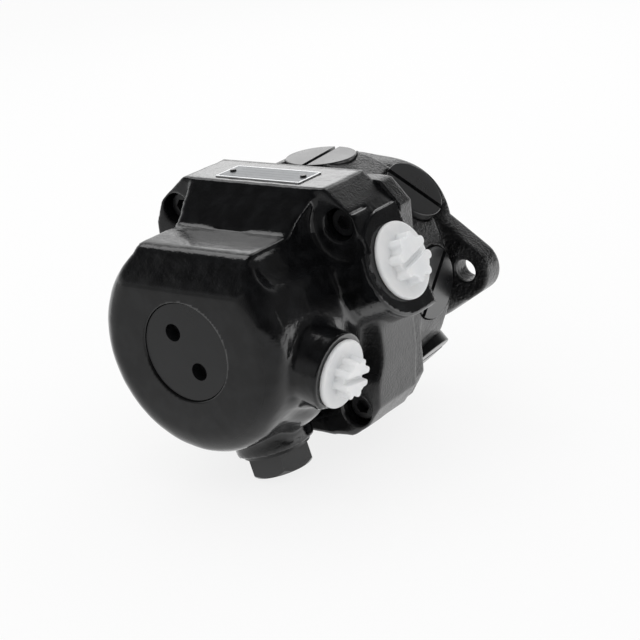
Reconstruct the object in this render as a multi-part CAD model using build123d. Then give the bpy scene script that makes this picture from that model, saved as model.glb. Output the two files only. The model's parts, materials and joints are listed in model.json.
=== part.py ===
from build123d import *
import math
import os

# Tandem steering pump: a balanced vane stage in the rear housing and a radial
# piston stage in the front housing, both driven by one shaft.
#
# Everything is drawn from the rear face: X to the right seen from the rear, Y along
# the shaft towards the drive end, Z up, in millimetres.  save() moves each solid so
# that the origin is the centre of the mounting face on the shaft axis.
# A radial place is given by its angle from +X towards +Z and its distance from the
# shaft axis.

# ------------------------------------------------------------------ clearances
SLIDE_GAP = 0.03       # radial, between a bore and the piece that slides or turns in it
THREAD_GAP = 0.05      # radial, between a tapped hole and its screw
PRESS_GAP = 0.01       # radial, between a seat and the ring pressed into it
SIDE_GAP = 0.05        # axial, between a turning piece and the plate beside it

# ------------------------------------------------------------------ stations on Y
BLOCK_Y = 57.0         # rear of the square middle block
BLOCK_W = 31.0
JOINT_FLANGE_T = 10.0
DRUM_W = 32.0
EAR_T = 11.0
SPIGOT_H = 12.5
SPLIT_Y = BLOCK_Y + BLOCK_W               # joint between the two housings
FLANGE_END_Y = SPLIT_Y + JOINT_FLANGE_T   # front of the joint flange on the front housing
EAR_Y = FLANGE_END_Y + DRUM_W             # rear of the mounting flange
BODY_LENGTH = EAR_Y + EAR_T               # mounting face

# ------------------------------------------------------------------ rear housing
DOME_R = 49.2
DOME_EDGE_R = 11.0
SHELF_Z = 42.0
SLOPE_Z = 27.5         # where the slope above the rear face starts
SLOPE_RUN = 11.0
SLOPE_RISE = 12.5
SLOPE_ROUND = 9.0
PAD_HALF = 31.0
PAD_LOW_Z = 22.0
RAMP_END_Y = BLOCK_Y - 1.0
RAMP_Y = RAMP_END_Y - 16.8
RAMP_HALF = 31.0
RAMP_TOP_HALF = 34.5
TOP_HALF = 39.0
TOP_Z = 58.6
BLOCK_SIDE = [(TOP_HALF, TOP_Z), (53.5, 46.6), (57.8, 36.4), (59.4, -21.0),
              (57.0, -40.5), (50.0, -50.4), (41.6, -56.2), (30.0, -57.5)]
BLOCK_EDGE = 1.6       # rounding of the casting's outer corners

BOLT_X = 45.0
BOLT_Z = 43.0
BOLT_R = 4.0
BOLT_HEAD_R = 6.5
BOLT_HEAD_H = 8.0
BOLT_SEAT_Y = SPLIT_Y - 18.0
BOLT_END_Y = FLANGE_END_Y - 1.0
BOLT_HOLE_R = 4.5
POCKET_R = 7.2
TOP_SCOOP_R = 16.0     # spanner clearance beside the shelf
TOP_SCOOP_Y = 7.0
TOP_SCOOP_SHIFT = (2.0, -1.0)
LOW_SCOOP_R = 10.5
LOW_SCOOP_Y = BLOCK_Y - 15.0

SUCTION_ANGLE = 20.2
SUCTION_Y = SPLIT_Y - 13.5
SUCTION_FACE = 67.8
SUCTION_BOSS_R = 24.2
SUCTION_THREAD_R = 12.0
SUCTION_CAP_R = 17.45
SUCTION_KNOB = (11.4, 6.5, -12.0, 2.1)   # radius, height, turn of the first grip, grip radius

PRESSURE_ANGLE = -9.8
PRESSURE_Y = 26.1
PRESSURE_FACE = 61.4
PRESSURE_BOSS_R = 17.6
PRESSURE_THREAD_R = 10.0
PRESSURE_CAP_R = 15.0
PRESSURE_KNOB = (9.0, 7.0, -33.0, 1.7)
CAP_FLANGE_T = 2.5
CAP_SHANK = 11.0
CAP_WALL = 2.2
CAP_GRIPS = 8
CAP_SLOT_W = 3.0
CAP_SLOT_DEPTH = 2.6
PRESSURE_DRILL_R = 5.5
SCALLOP_R = 35.5       # cut in the block round the pressure port
SCALLOP_FROM = 49.0

VALVE_ANGLE = -75.0
VALVE_STEP_Y = 8.9      # from the pressure port to the valve
VALVE_Y = PRESSURE_Y + VALVE_STEP_Y
VALVE_BOSS_R = 18.0
VALVE_SEAT = 57.0
VALVE_THREAD_R = 12.0
VALVE_BORE_R = 9.0
VALVE_BORE_END = -27.0
VALVE_THREAD_START = 42.5
VALVE_SPRING_TOP = 12.0
VALVE_COIL_R = 5.6
VALVE_WIRE_R = 0.85
SPOOL_END = 15.0        # the spool's outer end, with the cup for its spring
SPOOL_CUP_R = 7.2
SPOOL_GROOVES = ((-17.0, -9.0), (0.0, 5.0))
VALVE_SPRING_FOOT = 51.0
VALVE_RING_T = 1.5
VALVE_RING_R = 15.5
VALVE_HEX_R = 13.5     # half the width across the flats
VALVE_HEX_H = 9.5
VALVE_HEX_TURN = 18.0
VALVE_HEX_CONE_R = 23.0
VALVE_PLUG_BORE_R = 7.5
GALLERY_R = 10.0
GALLERY_STEP_Y = 4.9
GALLERY_Y = PRESSURE_Y + GALLERY_STEP_Y
GALLERY_FROM = (8.0, -46.0)
GALLERY_TO = (47.0, -22.0)

END_PLUG_R = 22.5
END_PLUG_Y = 0.8
END_SEAT_Y = 12.0
END_GROOVE_Y = 8.0
END_GROOVE_END_Y = 10.5
END_GROOVE_DEPTH = 2.0
PIN_HOLE_R = 4.0
PIN_HOLE_DEPTH = 6.0
PIN_PITCH_R = 10.1
PIN_ANGLE = 54.0
CHAMBER_R = 20.0
CHAMBER_END_Y = 23.0

# ------------------------------------------------------------------ vane stage
CARTRIDGE_R = 42.0
PLATE_THICK = 9.0
CAM_W = 22.0
CAM_END_Y = SPLIT_Y - PLATE_THICK
CAM_Y = CAM_END_Y - CAM_W
CARTRIDGE_Y = CAM_Y - PLATE_THICK
ANNULUS_R = 47.0
ANNULUS_Y = CAM_Y + 3.0
ANNULUS_END_Y = SPLIT_Y - 4.0
CAM_MAJOR = 31.0
CAM_MINOR = 28.0
ROTOR_R = 27.6
VANES = 10
VANE_T = 2.0
VANE_TIP = 27.7
VANE_FOOT = 17.6
SLOT_FOOT = 16.5
KIDNEY_R = 30.6
KIDNEY_W = 2.4
KIDNEY_HALF_ANGLE = 20.0
DOWEL_R = 2.0
DOWEL_PITCH_R = 35.5
DOWEL_ANGLE = 90.0
DOWEL_REAR_DEPTH = 6.0
DOWEL_DEPTH = 3.0
DISC_SPRING_R = 19.5
DISC_SPRING_Y = CARTRIDGE_Y - 2.0

# ------------------------------------------------------------------ front housing
JOINT_SIDE = [(46.0, 54.5), (48.0, 54.0), (57.0, 44.0), (57.0, 29.0), (56.0, -38.0),
              (49.0, -50.0), (41.0, -55.5), (30.0, -56.5)]
FRONT_R = 57.5
FRONT_SHOULDER = 6.0   # cone down to the mounting flange
EAR_DISC_R = 50.0
EAR_X = 61.5
EAR_R = 12.4
EAR_ROOT = (46.0, 26.0)
EAR_HOLE_R = 5.5
EAR_SPOT_R = 9.5
EAR_SPOT_DEPTH = 0.6
SPIGOT_R = 40.0
SEAL_R = 51.0          # face seal between the housings
SEAL_W = 3.0
SEAL_H = 2.2

PLUGS = 8              # two staggered rows, taken in turn round the housing
PLUG_ROWS = [          # y, turn, seat, face, head radius, thread radius
    (FLANGE_END_Y + 13.5, 0.0, 51.0, 56.5, 16.6, 12.0),
    (FLANGE_END_Y + 23.5, -2.0, 54.0, 60.0, 15.0, 11.0),
]
PLUG_SINK = [0.0, 0.0, 0.0, 6.0, 0.0, 0.0, 0.0, 0.0]
PLUG_SPOT_GAP = 0.6
PLUG_THREAD_FOOT = 43.0
PLUG_SLOT_W = 2.6
PLUG_SLOT_DEPTH = 2.4
PLUG_SEAL_W = 1.8
PLUG_SEAL_H = 2.5
PLUG_SLOT_TURN = [46.6, -64.5, 6.5, 31.0, -18.0, 74.0, -52.0, 12.0]

ECC_ANGLE = 22.5
ECC_OFFSET = 3.0
ECC_R = 15.0
ECC_RING_R = 18.0
ECC_RING_W = 23.0
ECC_Y = FLANGE_END_Y + 19.0
ECC_CHEEK = 1.0
ECC_CHAMBER_R = 24.0
PISTON_R = 8.0
PISTON_FOOT = 21.08
PISTON_TOP = 36.0
PISTON_WALL = 2.4
PISTON_FLOOR = 4.0
PISTON_SPRING_R = 4.6
BEARING_SEAT_Y = EAR_Y + 1.0
BEARING_W = 15.0
BEARING_R = 26.0
BEARING_SHAFT_R = 12.5
BALL_R = 3.9
BALL_PITCH_R = (BEARING_R + BEARING_SHAFT_R) / 2
RACE_REACH = 2.95      # from the ball circle to the lip of each race
CAGE_T = 1.9
CAGE_W = 10.4
BALLS = 9
CIRCLIP_W = 1.6
CIRCLIP_R = BEARING_R + 1.4

# ------------------------------------------------------------------ shaft
REAR_JOURNAL_R = 8.5
SPLINE_R = 9.8
SPLINE_ROOT_R = 8.6
SPLINES = 6
SPLINE_W = 3.4
FRONT_JOURNAL_R = 10.0
SHOULDER_R = 14.5
KEY_SEAT_Y = BEARING_SEAT_Y + BEARING_W + 10.0
KEY_SEAT_R = 10.0
KEY_SEAT_L = 16.0
NOSE_L = 12.0
NOSE_CHAMFER = 1.2
NOSE_Y = KEY_SEAT_Y + KEY_SEAT_L
SHAFT_END_Y = NOSE_Y + NOSE_L
NOSE_R = 8.0
KEY_W = 6.0
KEY_H = 6.0
KEY_PROUD = 2.6
KEY_Y = KEY_SEAT_Y + 1.5
KEY_END_Y = NOSE_Y - 1.5
BUSH_REAR_R = 11.0
BUSH_FRONT_R = 13.0

# ------------------------------------------------------------------ name plate
PLATE_W = 46.8
PLATE_D = 17.4
PLATE_T = 0.5
PLATE_Y = BLOCK_Y + 13.5
RIVET_X = 19.5
RIVET_R = 1.5
RIVET_H = 0.8


def save(name, *solids):
    """Write the solids of one node, moved so that the mounting face is at Y = 0."""
    moved = [Pos(0, -BODY_LENGTH, 0) * s for s in solids]
    export_step(moved[0] if len(moved) == 1 else Compound(children=moved), f"parts/{name}.step")


def along_y(radius, start, end, x=0.0, z=0.0):
    return Pos(x, (start + end) / 2, z) * Rot(90, 0, 0) * Cylinder(radius, end - start)


def ring_y(outer, inner, start, end, x=0.0, z=0.0):
    return along_y(outer, start, end, x, z) - along_y(inner, start, end, x, z)


def prism_y(points, start, end):
    """The outline (x, z) drawn out along Y from start to end."""
    face = Plane(origin=(0, end, 0), x_dir=(1, 0, 0), z_dir=(0, -1, 0)) * Polygon(*points, align=None)
    return extrude(face, end - start, dir=(0, -1, 0))


def mirrored(side):
    """A closed outline from its right half, top point first."""
    return side + [(-x, z) for x, z in reversed(side)]


def radial(angle, y, distance=0.0):
    """A plane whose normal points away from the shaft axis and whose x runs along +Y."""
    a = math.radians(angle)
    n = (math.cos(a), 0.0, math.sin(a))
    return Plane(origin=(n[0] * distance, y, n[2] * distance), x_dir=(0, 1, 0), z_dir=n)


def along_radius(radius, start, end, angle, y):
    return extrude(radial(angle, y, start) * Circle(radius), end - start)


def turned(profile):
    """The outline (radius, y) turned about the shaft axis."""
    return revolve(Plane.XY * Polygon(*profile, align=None), Axis.Y)


def around(angle, x=0.0, y=0.0, z=0.0):
    """Turn about Y by an angle that runs from +X towards +Z."""
    return Rot(0, -angle, 0) * Pos(x, y, z)


def squeezed_ring(outer, inner, start, end):
    """A seal ring of rounded section that fills its groove from wall to wall."""
    r = min(outer - inner, end - start) * 0.3
    body = along_y(outer, start, end) - along_y(inner, start, end)
    return fillet(body.edges().filter_by(GeomType.CIRCLE), r)


# ------------------------------------------------------------------ rear housing
def rear_casting():
    dome = along_y(DOME_R, 0, BLOCK_Y + 3)
    dome = fillet(dome.edges().group_by(Axis.Y)[0], DOME_EDGE_R)
    pad = Pos(0, RAMP_END_Y / 2, (PAD_LOW_Z + SHELF_Z) / 2) * Box(
        2 * PAD_HALF, RAMP_END_Y, SHELF_Z - PAD_LOW_Z)
    body = dome + pad
    far = 4 * DOME_R
    above = Pos(0, 0, SHELF_Z + DOME_R) * Box(far, far, 2 * DOME_R)
    slope = Plane(origin=(0, 0, SLOPE_Z), x_dir=(1, 0, 0), z_dir=(0, -SLOPE_RISE, SLOPE_RUN))
    body = body - above - extrude(slope * Rectangle(far, far), DOME_R)
    crest = body.edges().filter_by(Axis.X).group_by(Axis.Z)[-1].sort_by(Axis.Y)[0]
    body = fillet(crest, SLOPE_ROUND)

    low = Plane(origin=(0, RAMP_Y, SHELF_Z / 2), x_dir=(1, 0, 0), z_dir=(0, 1, 0)) * Rectangle(
        2 * RAMP_HALF, SHELF_Z)
    high = Plane(origin=(0, RAMP_END_Y + 2, TOP_Z / 2), x_dir=(1, 0, 0), z_dir=(0, 1, 0)) * Rectangle(
        2 * RAMP_TOP_HALF, TOP_Z)
    ramp = loft([low, high], ruled=True)
    block = prism_y(mirrored(BLOCK_SIDE), BLOCK_Y, SPLIT_Y)
    block = fillet(block.edges().filter_by(Axis.Y), BLOCK_EDGE)
    return body + ramp + block


def rear_bosses():
    suction = radial(SUCTION_ANGLE, SUCTION_Y, 20)
    depth = SUCTION_FACE - 20
    to_split = SPLIT_Y - SUCTION_Y
    boss = extrude(suction * Circle(SUCTION_BOSS_R), depth)
    boss += extrude(suction * Pos(to_split / 2, 0) * Rectangle(to_split, 2 * SUCTION_BOSS_R), depth)
    boss -= Pos(0, SPLIT_Y + SUCTION_BOSS_R, 0) * Box(6 * DOME_R, 2 * SUCTION_BOSS_R, 6 * DOME_R)
    pressure = along_radius(PRESSURE_BOSS_R, 20, PRESSURE_FACE, PRESSURE_ANGLE, PRESSURE_Y)
    valve = along_radius(VALVE_BOSS_R, 30, VALVE_SEAT, VALVE_ANGLE, VALVE_Y)
    return boss + pressure + valve


def gallery():
    """The cast rib over the drilling from the valve bore to the pressure port."""
    start = (GALLERY_FROM[0], GALLERY_Y, GALLERY_FROM[1])
    end = (GALLERY_TO[0], GALLERY_Y, GALLERY_TO[1])
    run = (end[0] - start[0], 0.0, end[2] - start[2])
    plane = Plane(origin=start, x_dir=(0, 1, 0), z_dir=run)
    return extrude(plane * Circle(GALLERY_R), math.hypot(run[0], run[2]))


def bolt_places():
    return [(sx * BOLT_X, sz * BOLT_Z) for sx in (1, -1) for sz in (1, -1)]


def rear_housing():
    body = rear_casting() + rear_bosses() + gallery()
    for x, z in bolt_places():
        if z > 0:
            shift_x, shift_z = TOP_SCOOP_SHIFT
            scoop = along_y(TOP_SCOOP_R, TOP_SCOOP_Y, BLOCK_Y, x + math.copysign(shift_x, x), z + shift_z)
            scoop = fillet(scoop.edges().group_by(Axis.Y)[0], TOP_SCOOP_R * 0.6)
        else:
            scoop = along_y(LOW_SCOOP_R, LOW_SCOOP_Y, BLOCK_Y, x, z)
        body -= scoop
        body -= along_y(POCKET_R, BLOCK_Y - 1, BOLT_SEAT_Y, x, z)
        body -= along_y(BOLT_HOLE_R, BOLT_SEAT_Y, SPLIT_Y, x, z)
    scallop = extrude(radial(PRESSURE_ANGLE, PRESSURE_Y, SCALLOP_FROM) * Circle(SCALLOP_R), 30)
    keep = along_radius(PRESSURE_BOSS_R, SCALLOP_FROM - 1, PRESSURE_FACE, PRESSURE_ANGLE, PRESSURE_Y)
    above = extrude(radial(SUCTION_ANGLE, SUCTION_Y, 20) * Circle(SUCTION_BOSS_R), 60)
    body -= scallop - keep - above
    body -= along_radius(SUCTION_BOSS_R, SUCTION_FACE, SUCTION_FACE + 20, SUCTION_ANGLE, SUCTION_Y)
    return body - rear_cavities()


def rear_cavities():
    cut = along_y(END_PLUG_R + THREAD_GAP, -1, END_SEAT_Y)
    cut += along_y(CHAMBER_R, END_SEAT_Y, CHAMBER_END_Y)
    cut += along_y(CARTRIDGE_R + PRESS_GAP, CARTRIDGE_Y, SPLIT_Y)
    cut += along_y(ANNULUS_R, ANNULUS_Y, ANNULUS_END_Y)
    cut += along_y(CHAMBER_R, DISC_SPRING_Y, CARTRIDGE_Y)
    cut += along_radius(VALVE_BORE_R, VALVE_BORE_END, VALVE_THREAD_START, VALVE_ANGLE, VALVE_Y)
    cut += along_radius(VALVE_THREAD_R + THREAD_GAP, VALVE_THREAD_START, VALVE_SEAT, VALVE_ANGLE, VALVE_Y)
    cut += along_radius(SUCTION_THREAD_R + THREAD_GAP, 44, SUCTION_FACE, SUCTION_ANGLE, SUCTION_Y)
    cut += along_radius(PRESSURE_THREAD_R + THREAD_GAP, 40, PRESSURE_FACE, PRESSURE_ANGLE, PRESSURE_Y)
    cut += along_radius(PRESSURE_DRILL_R, 18.5, 40, PRESSURE_ANGLE, PRESSURE_Y)
    return cut


# ------------------------------------------------------------------ front housing
def plug_place(k):
    y, turn, seat, face, head_r, thread_r = PLUG_ROWS[k % len(PLUG_ROWS)]
    return k * 360 / PLUGS + turn, y, seat - PLUG_SINK[k], face - PLUG_SINK[k], head_r, thread_r


def ear(sign):
    root_x, root_z = EAR_ROOT
    tip = along_y(EAR_R, EAR_Y, BODY_LENGTH, sign * EAR_X)
    # the straight side from the root meets the tip circle square to its radius
    dx = EAR_X - root_x
    reach = math.hypot(dx, root_z)
    lean = math.atan2(root_z, dx)
    turn = lean - math.asin(EAR_R / reach)
    touch_x = root_x + math.cos(turn) * math.sqrt(reach ** 2 - EAR_R ** 2)
    touch_z = root_z - math.sin(turn) * math.sqrt(reach ** 2 - EAR_R ** 2)
    side = [(sign * x, z) for x, z in
            [(30, root_z), (root_x, root_z), (touch_x, touch_z), (touch_x, -touch_z),
             (root_x, -root_z), (30, -root_z)]]
    return tip + prism_y(side, EAR_Y, BODY_LENGTH)


def front_housing():
    joint = prism_y(mirrored(JOINT_SIDE), SPLIT_Y, FLANGE_END_Y)
    drum = along_y(FRONT_R, FLANGE_END_Y, EAR_Y)
    drum = chamfer(drum.edges().group_by(Axis.Y)[-1], FRONT_SHOULDER)
    body = joint + drum + along_y(EAR_DISC_R, EAR_Y, BODY_LENGTH)
    body += along_y(SPIGOT_R, BODY_LENGTH, BODY_LENGTH + SPIGOT_H)
    for sign in (1, -1):
        body += ear(sign)
    for sign in (1, -1):
        body -= along_y(EAR_HOLE_R, EAR_Y - 1, BODY_LENGTH + 1, sign * EAR_X)
        body -= along_y(EAR_SPOT_R, EAR_Y - 8, EAR_Y + EAR_SPOT_DEPTH, sign * EAR_X)
    for x, z in bolt_places():
        body -= along_y(BOLT_R + THREAD_GAP, SPLIT_Y, BOLT_END_Y, x, z)
    for k in range(PLUGS):
        angle, y, seat, face, head_r, thread_r = plug_place(k)
        body -= along_radius(head_r + PLUG_SPOT_GAP, seat, seat + 20, angle, y)
        body -= along_radius(thread_r + THREAD_GAP, PLUG_THREAD_FOOT, seat, angle, y)
        body -= along_radius(PISTON_R, ECC_CHAMBER_R - 2, PLUG_THREAD_FOOT, angle, y)
    body -= along_y(BUSH_FRONT_R, SPLIT_Y, FLANGE_END_Y)
    body -= along_y(ECC_CHAMBER_R, FLANGE_END_Y, BEARING_SEAT_Y)
    body -= along_y(BEARING_R + PRESS_GAP, BEARING_SEAT_Y, BODY_LENGTH + SPIGOT_H)
    circlip_y = BEARING_SEAT_Y + BEARING_W
    body -= along_y(CIRCLIP_R + THREAD_GAP, circlip_y, circlip_y + CIRCLIP_W)
    body -= ring_y(SEAL_R, SEAL_R - SEAL_W, SPLIT_Y, SPLIT_Y + SEAL_H)
    return drilled(body, SPLIT_Y, SPLIT_Y + DOWEL_DEPTH)


# ------------------------------------------------------------------ plugs, bolts, caps
def rear_end_plug():
    plug = along_y(END_PLUG_R, END_PLUG_Y, END_SEAT_Y)
    plug = chamfer(plug.edges().group_by(Axis.Y)[0], 0.5)
    pin = math.radians(PIN_ANGLE)
    for s in (1, -1):
        x = -s * PIN_PITCH_R * math.cos(pin)
        z = s * PIN_PITCH_R * math.sin(pin)
        plug -= along_y(PIN_HOLE_R, END_PLUG_Y, END_PLUG_Y + PIN_HOLE_DEPTH, x, z)
    return plug - ring_y(END_PLUG_R + 1, END_PLUG_R - END_GROOVE_DEPTH, END_GROOVE_Y, END_GROOVE_END_Y)


def end_plug_ring():
    return squeezed_ring(END_PLUG_R + THREAD_GAP, END_PLUG_R - END_GROOVE_DEPTH, END_GROOVE_Y,
                         END_GROOVE_END_Y)


def housing_bolt(x, z):
    top = BOLT_SEAT_Y - BOLT_HEAD_H
    head = along_y(BOLT_HEAD_R, top, BOLT_SEAT_Y, x, z)
    head = chamfer(head.edges().group_by(Axis.Y)[0], 0.7)
    socket = Plane(origin=(x, top + 4, z), x_dir=(1, 0, 0), z_dir=(0, -1, 0)) * RegularPolygon(
        3.0, 6, major_radius=False)
    return head + along_y(BOLT_R, BOLT_SEAT_Y, BOLT_END_Y, x, z) - extrude(socket, 4)


def port_cap(angle, y, face, flange_r, thread_r, knob):
    """A screw-in dust cap: a hollow plug, a round flange and a slotted knob with eight grips."""
    knob_r, knob_h, knob_turn, grip_r = knob
    knob_foot = face + CAP_FLANGE_T
    flange = along_radius(flange_r, face, knob_foot, angle, y)
    flange = fillet(flange.edges().group_by(SortBy.LENGTH)[-1], 0.8)
    outline = Circle(knob_r - grip_r)
    for k in range(CAP_GRIPS):
        grip = Rot(0, 0, knob_turn + k * 360 / CAP_GRIPS) * Pos(knob_r - grip_r, 0)
        outline += grip * Circle(grip_r)
    crown = extrude(radial(angle, y, knob_foot) * outline, knob_h)
    crown = fillet(crown.faces().sort_by(Axis((0, 0, 0), radial(angle, y).z_dir))[-1].edges(), 0.5)
    # the slot runs out between the first grip and the next
    slot = radial(angle, y, knob_foot + knob_h - CAP_SLOT_DEPTH) * Rot(0, 0, knob_turn + 180 / CAP_GRIPS)
    crown -= extrude(slot * Rectangle(3 * knob_r, CAP_SLOT_W), CAP_SLOT_DEPTH)
    shank = along_radius(thread_r, face - CAP_SHANK, face, angle, y)
    shank -= along_radius(thread_r - CAP_WALL, face - CAP_SHANK, face, angle, y)
    hollow = along_radius(knob_r - grip_r - CAP_WALL, face, knob_foot + knob_h - CAP_SLOT_DEPTH - CAP_WALL,
                          angle, y)
    return flange + crown + shank - hollow


def valve_plug():
    hex_face = VALVE_SEAT + VALVE_RING_T
    plane = radial(VALVE_ANGLE, VALVE_Y, hex_face)
    hexagon = Rot(0, 0, VALVE_HEX_TURN) * RegularPolygon(VALVE_HEX_R, 6, major_radius=False)
    head = extrude(plane * hexagon, VALVE_HEX_H)
    trim = loft([plane * Circle(VALVE_HEX_CONE_R), plane.offset(VALVE_HEX_H) * Circle(VALVE_HEX_R)],
                ruled=True)
    head = head & trim
    shank = along_radius(VALVE_THREAD_R, VALVE_THREAD_START + 1.0, hex_face, VALVE_ANGLE, VALVE_Y)
    shank -= along_radius(VALVE_PLUG_BORE_R, VALVE_THREAD_START + 1.0, VALVE_SPRING_FOOT,
                          VALVE_ANGLE, VALVE_Y)
    return head + shank


def valve_ring():
    """The flat sealing ring under the hexagon."""
    top = VALVE_SEAT + VALVE_RING_T
    ring = along_radius(VALVE_RING_R, VALVE_SEAT, top, VALVE_ANGLE, VALVE_Y)
    return ring - along_radius(VALVE_THREAD_R + THREAD_GAP, VALVE_SEAT, top, VALVE_ANGLE, VALVE_Y)


def valve_spool():
    r = VALVE_BORE_R - SLIDE_GAP
    spool = along_radius(r, VALVE_BORE_END, SPOOL_END, VALVE_ANGLE, VALVE_Y)
    for start, end in SPOOL_GROOVES:
        groove = along_radius(r + 1, start, end, VALVE_ANGLE, VALVE_Y)
        spool -= groove - along_radius(r - 2.5, start, end, VALVE_ANGLE, VALVE_Y)
    return spool - along_radius(SPOOL_CUP_R, VALVE_SPRING_TOP, SPOOL_END, VALVE_ANGLE, VALVE_Y)


def valve_spring():
    """A coil of round wire between the spool and the hexagon plug."""
    height = VALVE_SPRING_FOOT - VALVE_SPRING_TOP - 2 * VALVE_WIRE_R
    path = Helix(pitch=height / 7, height=height, radius=VALVE_COIL_R)
    section = Plane(origin=path @ 0, z_dir=path % 0) * Circle(VALVE_WIRE_R)
    coil = sweep(section, path=path, is_frenet=True)
    plane = radial(VALVE_ANGLE, VALVE_Y, VALVE_SPRING_TOP + VALVE_WIRE_R)
    return plane.location * coil


# ------------------------------------------------------------------ vane stage
def dowel_places():
    a = math.radians(DOWEL_ANGLE)
    return [(s * DOWEL_PITCH_R * math.cos(a), s * DOWEL_PITCH_R * math.sin(a)) for s in (1, -1)]


def dowel(x, z):
    pin = along_y(DOWEL_R, CAM_Y - DOWEL_REAR_DEPTH, SPLIT_Y + DOWEL_DEPTH, x, z)
    return chamfer(pin.edges().filter_by(GeomType.CIRCLE), 0.4)


def drilled(body, start, end):
    for x, z in dowel_places():
        body -= along_y(DOWEL_R + PRESS_GAP, start, end, x, z)
    return body


def cam_ring():
    bore = Plane(origin=(0, CAM_END_Y, 0), x_dir=(1, 0, 0), z_dir=(0, -1, 0)) * Ellipse(
        CAM_MAJOR, CAM_MINOR)
    ring = along_y(CARTRIDGE_R, CAM_Y, CAM_END_Y) - extrude(bore, CAM_END_Y - CAM_Y)
    middle = (CAM_Y + CAM_END_Y) / 2
    for angle in (45, 225):
        ring -= along_radius(4.0, 20, CARTRIDGE_R + 1, angle, middle)
    return drilled(ring, CAM_Y, CAM_END_Y)


def kidney(mid, y0, y1):
    """A curved window beside the vanes."""
    band = ring_y(KIDNEY_R, KIDNEY_R - KIDNEY_W, y0, y1)
    far = 2 * KIDNEY_R
    side_x = far * math.cos(math.radians(KIDNEY_HALF_ANGLE))
    side_z = far * math.sin(math.radians(KIDNEY_HALF_ANGLE))
    sector = prism_y([(0, 0), (side_x, -side_z), (side_x, side_z)], y0, y1)
    return around(mid) * (band & sector)


def side_plate(y0, y1, hole_r, face_y0, face_y1):
    plate = along_y(CARTRIDGE_R, y0, y1) - along_y(hole_r, y0, y1)
    for k in range(4):
        plate -= kidney(45 + 90 * k, face_y0, face_y1)
    return plate


def rear_side_plate():
    plate = side_plate(CARTRIDGE_Y, CAM_Y, BUSH_REAR_R, CARTRIDGE_Y, CAM_Y)
    return drilled(plate, CAM_Y - DOWEL_REAR_DEPTH, CAM_Y)


def front_side_plate():
    plate = side_plate(CAM_END_Y, SPLIT_Y, FRONT_JOURNAL_R + 0.4, CAM_END_Y, CAM_END_Y + 3)
    return drilled(plate, CAM_END_Y, SPLIT_Y)


def vane_angle(k):
    return k * 360 / VANES


def spline_section(outer, root, width, start, end):
    body = along_y(root, start, end)
    for k in range(SPLINES):
        tooth = Pos((outer - 1.5) / 2 + 1, (start + end) / 2, 0) * Box(outer - 0.5, end - start, width)
        body += around(k * 360 / SPLINES) * tooth
    return body & along_y(outer, start, end)


def rotor():
    y0 = CAM_Y + SIDE_GAP
    y1 = CAM_END_Y - SIDE_GAP
    body = along_y(ROTOR_R, y0, y1)
    depth = ROTOR_R - SLOT_FOOT
    for k in range(VANES):
        slot = Pos(SLOT_FOOT + depth / 2 + 1, (y0 + y1) / 2, 0) * Box(depth + 2, y1 - y0, VANE_T)
        body -= around(vane_angle(k)) * slot
    return body - spline_section(SPLINE_R + SLIDE_GAP, SPLINE_ROOT_R + SLIDE_GAP,
                                 SPLINE_W + 2 * SLIDE_GAP, y0, y1)


def vane(k):
    width = CAM_END_Y - CAM_Y - 2 * SIDE_GAP
    height = VANE_TIP - VANE_FOOT
    blade = Pos((VANE_TIP + VANE_FOOT) / 2, (CAM_Y + CAM_END_Y) / 2, 0) * Box(
        height, width, VANE_T - 2 * SLIDE_GAP)
    blade = fillet(blade.edges().filter_by(Axis.Y).group_by(Axis.X)[-1], 0.6)
    return around(vane_angle(k)) * blade


def disc_spring():
    """A coned washer that presses the rear plate on to the cam ring."""
    outer, inner, t = DISC_SPRING_R, 12.5, 0.9
    return turned([(inner, CARTRIDGE_Y - t), (outer, DISC_SPRING_Y), (outer, DISC_SPRING_Y + t),
                   (inner, CARTRIDGE_Y)])


# ------------------------------------------------------------------ shaft line
def key():
    middle_z = KEY_SEAT_R + KEY_PROUD - KEY_H / 2
    return Pos(0, (KEY_Y + KEY_END_Y) / 2, middle_z) * Box(KEY_W, KEY_END_Y - KEY_Y, KEY_H)


def ecc_centre():
    a = math.radians(ECC_ANGLE)
    return ECC_OFFSET * math.cos(a), ECC_OFFSET * math.sin(a)


def drive_shaft():
    ex, ez = ecc_centre()
    half = ECC_RING_W / 2 + ECC_CHEEK
    shaft = along_y(REAR_JOURNAL_R, CARTRIDGE_Y + 1.5, CAM_Y)
    shaft += spline_section(SPLINE_R, SPLINE_ROOT_R, SPLINE_W, CAM_Y, CAM_END_Y)
    shaft += along_y(FRONT_JOURNAL_R, CAM_END_Y, ECC_Y - half)
    shaft += along_y(ECC_R, ECC_Y - half, ECC_Y + half, ex, ez)
    shaft += along_y(SHOULDER_R, ECC_Y + half, BEARING_SEAT_Y)
    shaft += along_y(BEARING_SHAFT_R - PRESS_GAP, BEARING_SEAT_Y, KEY_SEAT_Y)
    shaft += along_y(KEY_SEAT_R, KEY_SEAT_Y, NOSE_Y)
    nose = along_y(NOSE_R, NOSE_Y, SHAFT_END_Y)
    shaft += chamfer(nose.edges().group_by(Axis.Y)[-1], NOSE_CHAMFER)
    return shaft - key()


def eccentric_ring():
    ex, ez = ecc_centre()
    ring = along_y(ECC_RING_R, ECC_Y - ECC_RING_W / 2, ECC_Y + ECC_RING_W / 2, ex, ez)
    return ring - along_y(ECC_R + SLIDE_GAP, ECC_Y - ECC_RING_W / 2, ECC_Y + ECC_RING_W / 2, ex, ez)


def piston(k):
    angle, y = plug_place(k)[:2]
    body = along_radius(PISTON_R - SLIDE_GAP, PISTON_FOOT, PISTON_TOP, angle, y)
    return body - along_radius(PISTON_R - PISTON_WALL, PISTON_FOOT + PISTON_FLOOR, PISTON_TOP, angle, y)


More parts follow.
